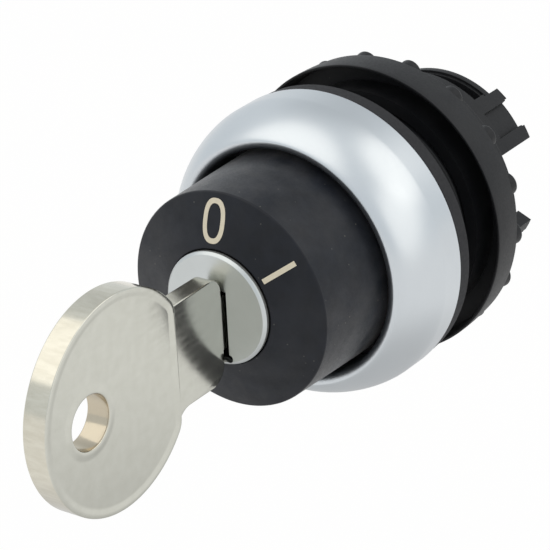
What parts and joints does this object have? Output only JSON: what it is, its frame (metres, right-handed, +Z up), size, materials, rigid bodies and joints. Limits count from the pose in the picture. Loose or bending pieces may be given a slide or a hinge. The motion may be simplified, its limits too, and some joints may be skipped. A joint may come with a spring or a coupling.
{
  "type": "key-operated selector switch",
  "caption": "Panel-mount key selector switch actuator with a satin domed front ring, black lock housing, round-bow key in the lock, knobbed ring nut and castellated rear sleeve.",
  "frame": {"origin": "on the switch's axis, in the front plane of the panel it is fixed in", "axes": "+Y along the axis to the back of the panel, the operator's side is -Y, +Z up at the 0 mark"},
  "size_m": [0.0298, 0.0663, 0.0298],
  "materials": {
    "satin_silver": "satin silver, softly reflecting",
    "black_plastic": "fine matt moulded",
    "dark_rubber": "matt",
    "nickel": "nickel plated, bright",
    "plug_nickel": "nickel plated, satin",
    "brass": "stamped",
    "zinc": "die cast zinc",
    "spring_steel": "bright drawn",
    "white_plastic": "moulded"
  },
  "bodies": {
    "switch_body": {"bezel_ring": "satin_silver", "panel_gasket": "dark_rubber", "actuator_body": "black_plastic", "lock_housing": "black_plastic", "housing_seal": "dark_rubber", "lock_barrel": "zinc", "plug_seal": "dark_rubber", "tappet_guide": "black_plastic", "detent_ball": "spring_steel", "detent_spring": "spring_steel"},
    "lock": {"lock_plug": "plug_nickel", "wafer_1": "brass", "wafer_2": "brass", "wafer_3": "brass", "wafer_4": "brass", "wafer_5": "brass", "wafer_spring_1": "spring_steel", "wafer_spring_2": "spring_steel", "wafer_spring_3": "spring_steel", "wafer_spring_4": "spring_steel", "wafer_spring_5": "spring_steel", "plug_circlip": "spring_steel", "cam_rotor": "white_plastic", "rotor_screw": "spring_steel"},
    "key": {"key": "nickel"},
    "tappet_left": {"tappet_left": "black_plastic"},
    "tappet_right": {"tappet_right": "black_plastic"},
    "ring_nut": {"ring_nut": "black_plastic"}
  },
  "joints": [
    {"name": "key_turn", "type": "hinge", "parent": "switch_body", "child": "lock", "pos_m": [0, 0, 0], "axis": [0, 1, 0], "range_deg": [0, 60]},
    {"name": "key_withdraw", "type": "slide", "parent": "lock", "child": "key", "axis": [0, -1, 0], "range_m": [0, 0.02]},
    {"name": "tappet_left_push", "type": "slide", "parent": "switch_body", "child": "tappet_left", "axis": [0, 1, 0], "range_m": [0, 0.003]},
    {"name": "tappet_right_push", "type": "slide", "parent": "switch_body", "child": "tappet_right", "axis": [0, 1, 0], "range_m": [0, 0.003]},
    {"name": "nut_travel", "type": "slide", "parent": "switch_body", "child": "ring_nut", "axis": [0, 1, 0], "range_m": [-0.0044, 0.0146]}
  ],
  "couplings": [
    {"joint": "tappet_left_push", "follows": "key_turn", "m_per_rad": 0.0028648},
    {"joint": "tappet_right_push", "follows": "key_turn", "m_per_rad": 0.0028648}
  ]
}
